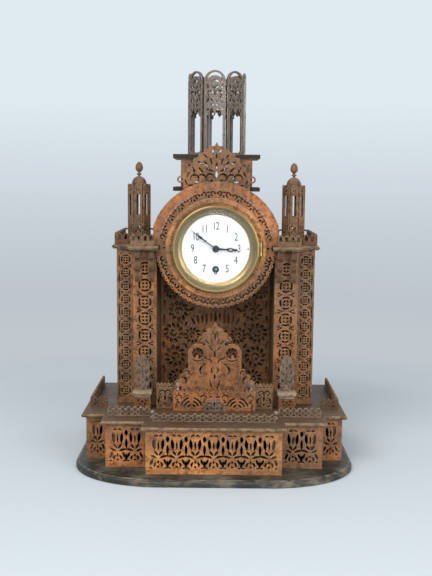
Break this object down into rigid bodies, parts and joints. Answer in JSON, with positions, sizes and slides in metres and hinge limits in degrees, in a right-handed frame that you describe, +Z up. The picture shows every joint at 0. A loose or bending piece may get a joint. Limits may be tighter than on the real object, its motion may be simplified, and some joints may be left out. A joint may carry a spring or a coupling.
{
  "type": "fretwork mantel clock",
  "caption": "Spring-driven mantel clock in a pierced fretwood palace case with two towers, a round hinged bezel and an open octagonal lantern on top.",
  "frame": {"origin": "centre of the plinth's underside", "axes": "+Z up, the dial faces -Y, +X to the right as seen from the front"},
  "size_m": [0.32, 0.226, 0.4575],
  "materials": {
    "fretwood": "red-brown stained fretwood, worn satin varnish",
    "polished_fretwood": "warm red-brown fretwood, satin varnish",
    "pale_wood": "greyed pale wood, bare",
    "ebonised_wood": "black stain worn at the edges",
    "brass": "aged lacquered brass",
    "steel": "plain turned steel",
    "blued_steel": "blued steel",
    "dial_enamel": "white enamel on a metal plate",
    "clear_glass": "clear domed glass"
  },
  "bodies": {
    "case": {"plinth": "ebonised_wood", "base_centre_panel": "polished_fretwood", "base_step_panels": "fretwood", "base_end_walls": "fretwood", "base_back_panel": "fretwood", "glue_blocks": "fretwood", "top_board": "fretwood", "front_rails": "fretwood", "end_rails": "fretwood", "turned_knobs": "pale_wood", "front_crest": "fretwood", "balustrade": "polished_fretwood", "alcove_panels": "fretwood", "centre_ornament": "polished_fretwood", "pedestal_sides": "fretwood", "pedestal_caps": "pale_wood", "leaf_sprays": "fretwood", "tower_bay_panels": "fretwood", "tower_wing_panels": "fretwood", "tower_side_walls": "fretwood", "tower_back_walls": "fretwood", "tower_slabs": "fretwood", "corbels": "fretwood", "tower_rails": "fretwood", "turret_panels": "fretwood", "turret_domes": "fretwood", "ring_fret": "fretwood", "ring_collar": "polished_fretwood", "vault": "fretwood", "back_fret": "fretwood", "crown_plates": "fretwood", "crown_walls": "fretwood", "crown_crest": "fretwood", "lantern_panels": "fretwood", "drum_case": "brass", "back_cap": "brass", "case_screws": "steel", "hinge_pin": "steel", "dial": "dial_enamel", "movement_plates": "brass", "pillars": "brass", "plate_nuts": "steel", "plate_screws": "steel", "hairspring": "blued_steel"},
    "bezel": {"bezel": "brass", "bezel_glass": "clear_glass"},
    "minute": {"centre_wheel": "brass", "cannon_pinion": "steel", "minute_hand": "blued_steel"},
    "motion": {"minute_wheel": "brass"},
    "hour": {"hour_wheel": "brass", "hour_hand": "blued_steel"},
    "barrel": {"barrel": "brass", "mainspring": "blued_steel"},
    "third": {"third_wheel": "brass"},
    "escape": {"escape_wheel": "brass"},
    "winding": {"winding_arbor": "steel"},
    "click": {"click": "steel"},
    "lever": {"pallet_lever": "steel"},
    "balance": {"balance_wheel": "brass"}
  },
  "joints": [
    {"name": "minute_turn", "type": "hinge", "parent": "case", "child": "minute", "pos_m": [0, 0, 0.251], "axis": [0, 1, 0], "continuous": true},
    {"name": "motion_turn", "type": "hinge", "parent": "case", "child": "motion", "pos_m": [0.012, 0, 0.251], "axis": [0, 1, 0], "continuous": true},
    {"name": "hour_turn", "type": "hinge", "parent": "case", "child": "hour", "pos_m": [0, 0, 0.251], "axis": [0, 1, 0], "continuous": true},
    {"name": "barrel_turn", "type": "hinge", "parent": "case", "child": "barrel", "pos_m": [0, 0, 0.227], "axis": [0, 1, 0], "continuous": true},
    {"name": "third_turn", "type": "hinge", "parent": "case", "child": "third", "pos_m": [-0.01427, 0, 0.25766], "axis": [0, 1, 0], "continuous": true},
    {"name": "escape_turn", "type": "hinge", "parent": "case", "child": "escape", "pos_m": [-0.00747, 0, 0.26943], "axis": [0, 1, 0], "continuous": true},
    {"name": "winding_turn", "type": "hinge", "parent": "case", "child": "winding", "pos_m": [0, 0, 0.227], "axis": [0, 1, 0], "continuous": true},
    {"name": "click_turn", "type": "hinge", "parent": "case", "child": "click", "pos_m": [0.0105, 0, 0.2335], "axis": [0, 1, 0], "range_deg": [0, 12]},
    {"name": "lever_rock", "type": "hinge", "parent": "case", "child": "lever", "pos_m": [0.00153, 0, 0.26943], "axis": [0, 1, 0], "range_deg": [-3, 3]},
    {"name": "balance_swing", "type": "hinge", "parent": "case", "child": "balance", "pos_m": [0.01453, 0, 0.26943], "axis": [0, 1, 0], "range_deg": [-150, 150], "stiffness_Nm_per_rad": 0.00002},
    {"name": "bezel_hinge", "type": "hinge", "parent": "case", "child": "bezel", "pos_m": [0.0522, -0.013, 0.251], "axis": [0, 0, 1], "range_deg": [0, 100]}
  ],
  "couplings": [
    {"joint": "motion_turn", "follows": "minute_turn", "ratio": -0.33333},
    {"joint": "hour_turn", "follows": "minute_turn", "ratio": 0.083333},
    {"joint": "barrel_turn", "follows": "minute_turn", "ratio": -0.25},
    {"joint": "third_turn", "follows": "minute_turn", "ratio": -6},
    {"joint": "escape_turn", "follows": "minute_turn", "ratio": 45}
  ]
}
